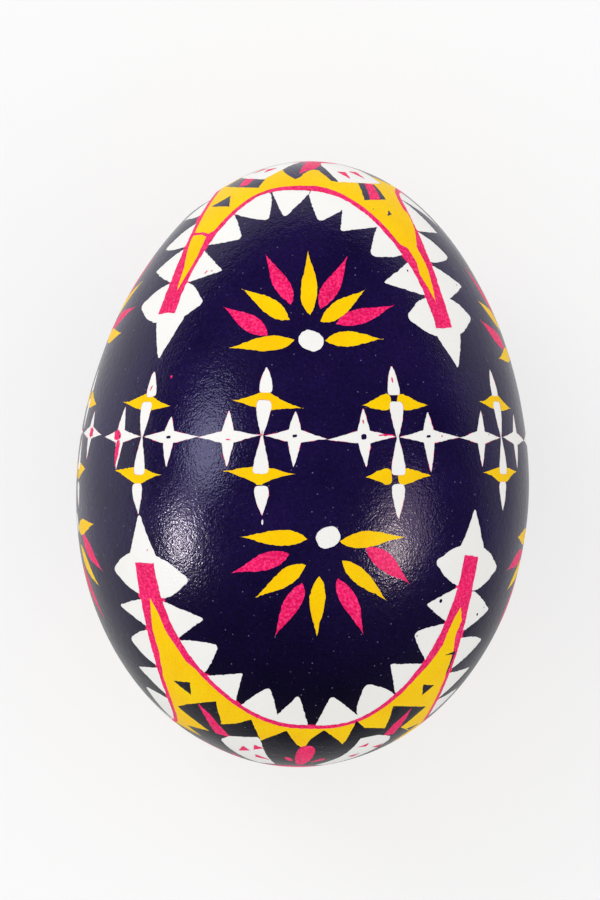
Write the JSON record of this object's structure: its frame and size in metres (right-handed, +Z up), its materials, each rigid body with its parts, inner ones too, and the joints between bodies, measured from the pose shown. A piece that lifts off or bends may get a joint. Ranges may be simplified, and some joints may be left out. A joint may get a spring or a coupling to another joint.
{
  "type": "decorated egg",
  "caption": "Blown hen's egg dyed by wax resist, with a belt of crosses, flowers in scalloped arches and rosettes at both ends, lying on its side.",
  "frame": {"origin": "on the surface the egg lies on, under the middle of its length and of its width", "axes": "+Z up; +Y along the egg's axis, from the blunt end to the pointed end; +X across it"},
  "size_m": [0.0432, 0.058, 0.0431],
  "materials": {
    "dark_dye": "satin",
    "bare_shell": "satin",
    "yellow_dye": "satin",
    "pink_dye": "satin",
    "membrane": "matte"
  },
  "bodies": {
    "root": {"shell": "dark_dye", "outer_membrane": "membrane", "inner_membrane": "membrane"}
  },
  "joints": []
}
